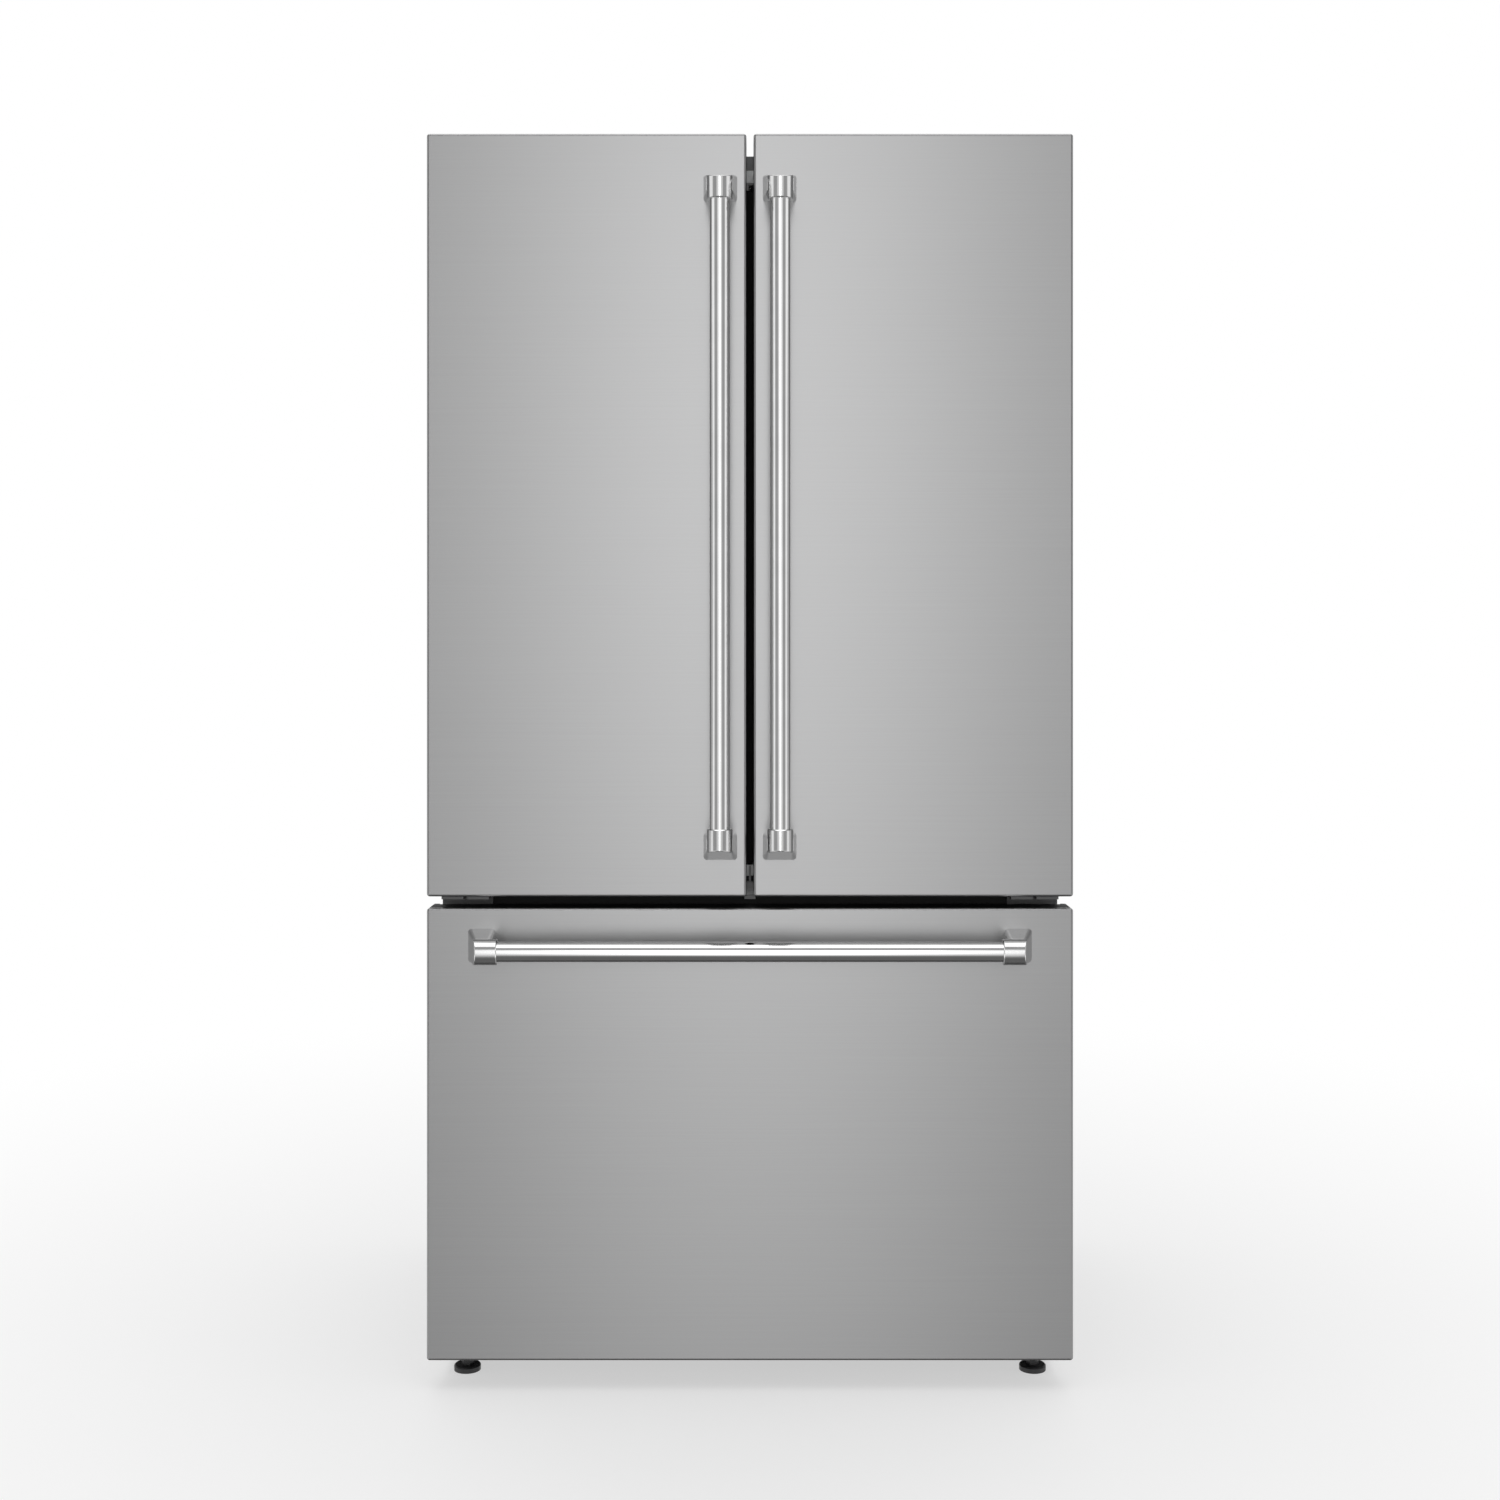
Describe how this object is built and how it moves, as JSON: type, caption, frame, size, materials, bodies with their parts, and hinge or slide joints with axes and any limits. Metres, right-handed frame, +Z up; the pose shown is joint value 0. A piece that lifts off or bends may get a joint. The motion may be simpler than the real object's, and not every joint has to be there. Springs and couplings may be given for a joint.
{
  "type": "french door refrigerator",
  "caption": "French door refrigerator with a bottom freezer drawer, tube handles, a hinged mullion, glass shelves, door bins, crispers and pull-out baskets.",
  "frame": {"origin": "on the floor, under the middle of the whole appliance, handles included", "axes": "+Z up, -Y the front with the doors and the drawer, +X to the right of someone facing it"},
  "size_m": [0.908, 0.76, 1.775],
  "materials": {
    "stainless_skin": "satin",
    "handle_tube": "polished",
    "handle_bracket": "satin",
    "case_paint": "satin",
    "end_cap_plastic": "matte",
    "hinge_paint": "satin",
    "liner_plastic": "satin",
    "door_liner_plastic": "satin",
    "foam": "matte",
    "gasket_rubber": "matte",
    "mullion_plastic": "satin",
    "grey_plastic": "matte",
    "clear_plastic": "gloss",
    "shelf_glass": "gloss",
    "shelf_trim": "satin",
    "galvanised_sheet": "satin",
    "slide_steel": "satin",
    "black_paint": "satin",
    "black_plastic": "matte",
    "aluminium_fins": "satin",
    "light_lens": "satin",
    "panel_plastic": "gloss",
    "foot_steel": "satin",
    "white_basket": "satin"
  },
  "bodies": {
    "cabinet": {"case_wrapper": "case_paint", "back_panel": "galvanised_sheet", "base_frame": "black_paint", "fridge_liner": "liner_plastic", "freezer_liner": "liner_plastic", "foam_insulation": "foam", "centre_rail": "black_paint", "top_hinges": "hinge_paint", "hinge_covers": "end_cap_plastic", "centre_hinges": "hinge_paint", "mullion_guide": "grey_plastic", "base_grille": "black_plastic", "roller_brackets": "galvanised_sheet", "compressor": "black_paint", "condenser": "black_paint", "machine_cover": "galvanised_sheet", "evaporator": "aluminium_fins", "evaporator_cover": "liner_plastic", "air_duct": "shelf_trim", "ceiling_light": "light_lens", "control_panel": "panel_plastic", "shelf_tracks": "slide_steel", "shelf_frames": "shelf_trim", "shelf_glass": "shelf_glass", "drawer_covers": "shelf_trim", "slide_outer": "slide_steel"},
    "left_door": {"left_door_skin": "stainless_skin", "left_door_end_caps": "end_cap_plastic", "left_door_liner": "door_liner_plastic", "left_door_gasket": "gasket_rubber", "left_door_bins": "clear_plastic", "left_handle_tube": "handle_tube", "left_handle_brackets": "handle_bracket"},
    "right_door": {"right_door_skin": "stainless_skin", "right_door_end_caps": "end_cap_plastic", "right_door_liner": "door_liner_plastic", "right_door_gasket": "gasket_rubber", "right_door_bins": "clear_plastic", "right_handle_tube": "handle_tube", "right_handle_brackets": "handle_bracket"},
    "mullion": {"mullion_bar": "mullion_plastic", "mullion_end_caps": "mullion_plastic"},
    "freezer_drawer": {"drawer_skin": "stainless_skin", "drawer_end_caps": "end_cap_plastic", "drawer_liner": "door_liner_plastic", "drawer_gasket": "gasket_rubber", "drawer_handle_tube": "handle_tube", "drawer_handle_brackets": "handle_bracket", "slide_inner": "slide_steel", "deep_basket": "white_basket"},
    "drawer_middle_rails": {"slide_middle": "slide_steel"},
    "freezer_upper_basket": {"upper_basket": "white_basket"},
    "left_crisper": {"crisper_left": "clear_plastic"},
    "right_crisper": {"crisper_right": "clear_plastic"},
    "pantry": {"pantry_drawer": "clear_plastic"},
    "left_foot": {"front_foot_left": "foot_steel"},
    "right_foot": {"front_foot_right": "foot_steel"},
    "left_roller": {"rear_roller_left": "black_plastic"},
    "right_roller": {"rear_roller_right": "black_plastic"},
    "cooling_fan": {"condenser_fan": "grey_plastic"}
  },
  "joints": [
    {"name": "left_door_hinge", "type": "hinge", "parent": "cabinet", "child": "left_door", "pos_m": [-0.432, -0.279, 1.23], "axis": [0, 0, -1], "range_deg": [0, 135]},
    {"name": "right_door_hinge", "type": "hinge", "parent": "cabinet", "child": "right_door", "pos_m": [0.432, -0.279, 1.23], "axis": [0, 0, 1], "range_deg": [0, 135]},
    {"name": "mullion_flip", "type": "hinge", "parent": "left_door", "child": "mullion", "pos_m": [-0.031, -0.231, 1.22], "axis": [0, 0, 1], "range_deg": [0, 90]},
    {"name": "freezer_drawer_slide", "type": "slide", "parent": "cabinet", "child": "freezer_drawer", "axis": [0, -1, 0], "range_m": [0, 0.44]},
    {"name": "middle_rail_slide", "type": "slide", "parent": "cabinet", "child": "drawer_middle_rails", "axis": [0, -1, 0], "range_m": [0, 0.22]},
    {"name": "upper_basket_slide", "type": "slide", "parent": "cabinet", "child": "freezer_upper_basket", "axis": [0, -1, 0], "range_m": [0, 0.22]},
    {"name": "left_crisper_slide", "type": "slide", "parent": "cabinet", "child": "left_crisper", "axis": [0, -1, 0], "range_m": [0, 0.08]},
    {"name": "right_crisper_slide", "type": "slide", "parent": "cabinet", "child": "right_crisper", "axis": [0, -1, 0], "range_m": [0, 0.08]},
    {"name": "pantry_slide", "type": "slide", "parent": "cabinet", "child": "pantry", "axis": [0, -1, 0], "range_m": [0, 0.06]},
    {"name": "left_foot_turn", "type": "hinge", "parent": "cabinet", "child": "left_foot", "pos_m": [-0.409, -0.222, 0.02], "axis": [0, 0, 1], "continuous": true},
    {"name": "right_foot_turn", "type": "hinge", "parent": "cabinet", "child": "right_foot", "pos_m": [0.409, -0.222, 0.02], "axis": [0, 0, 1], "continuous": true},
    {"name": "left_roller_spin", "type": "hinge", "parent": "cabinet", "child": "left_roller", "pos_m": [-0.423, 0.33, 0.018], "axis": [1, 0, 0], "continuous": true},
    {"name": "right_roller_spin", "type": "hinge", "parent": "cabinet", "child": "right_roller", "pos_m": [0.423, 0.33, 0.018], "axis": [1, 0, 0], "continuous": true},
    {"name": "cooling_fan_spin", "type": "hinge", "parent": "cabinet", "child": "cooling_fan", "pos_m": [-0.106, 0.265, 0.146], "axis": [1, 0, 0], "continuous": true}
  ],
  "couplings": [
    {"joint": "mullion_flip", "follows": "left_door_hinge", "ratio": 0.6666},
    {"joint": "middle_rail_slide", "follows": "freezer_drawer_slide", "ratio": 0.5},
    {"joint": "upper_basket_slide", "follows": "freezer_drawer_slide", "ratio": 0.5}
  ]
}
